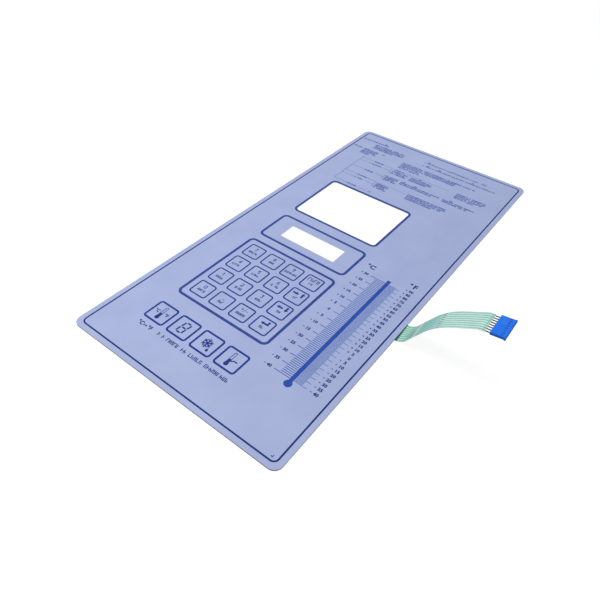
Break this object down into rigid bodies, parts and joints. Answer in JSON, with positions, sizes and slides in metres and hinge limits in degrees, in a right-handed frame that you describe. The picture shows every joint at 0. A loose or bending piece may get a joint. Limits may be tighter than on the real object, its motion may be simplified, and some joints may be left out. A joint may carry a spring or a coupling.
{
  "type": "membrane keypad",
  "caption": "Tall flat keypad panel of laminated printed film with a number pad, function keys, two clear display windows, a temperature scale and a curved flat tail with a crimped pin socket.",
  "frame": {"origin": "middle of the panel's rear face", "axes": "+X to the panel's right, where the tail leaves; +Y up the panel towards the menu print; +Z out of the printed face"},
  "size_m": [0.2725, 0.422, 0.0538],
  "materials": {
    "liner_paper": "silicone-coated paper",
    "adhesive": "clear acrylic adhesive",
    "circuit_polyester": "green-tinted polyester",
    "silver_print": "matt silver ink",
    "spacer": "white spacer film",
    "clear_film": "clear polyester",
    "field_ink": "periwinkle ink",
    "navy_ink": "navy ink",
    "blue_ink": "blue ink",
    "housing_blue": "moulded blue plastic",
    "contact_metal": "tin plate"
  },
  "bodies": {
    "root": {"release_liner": "liner_paper", "rear_adhesive": "adhesive", "lower_circuit_film": "circuit_polyester", "lower_silver_print": "silver_print", "circuit_spacer": "spacer", "upper_silver_print": "silver_print", "upper_circuit_film": "circuit_polyester", "overlay_adhesive": "adhesive", "overlay_film": "clear_film", "background_ink": "field_ink", "border_ink": "navy_ink", "frame_ink": "blue_ink", "key_ink": "blue_ink", "legend_ink": "navy_ink", "scale_ink": "blue_ink", "menu_ink": "navy_ink", "connector_housing": "housing_blue", "contact_1": "contact_metal", "contact_2": "contact_metal", "contact_3": "contact_metal", "contact_4": "contact_metal", "contact_5": "contact_metal", "contact_6": "contact_metal", "contact_7": "contact_metal", "contact_8": "contact_metal"}
  },
  "joints": []
}
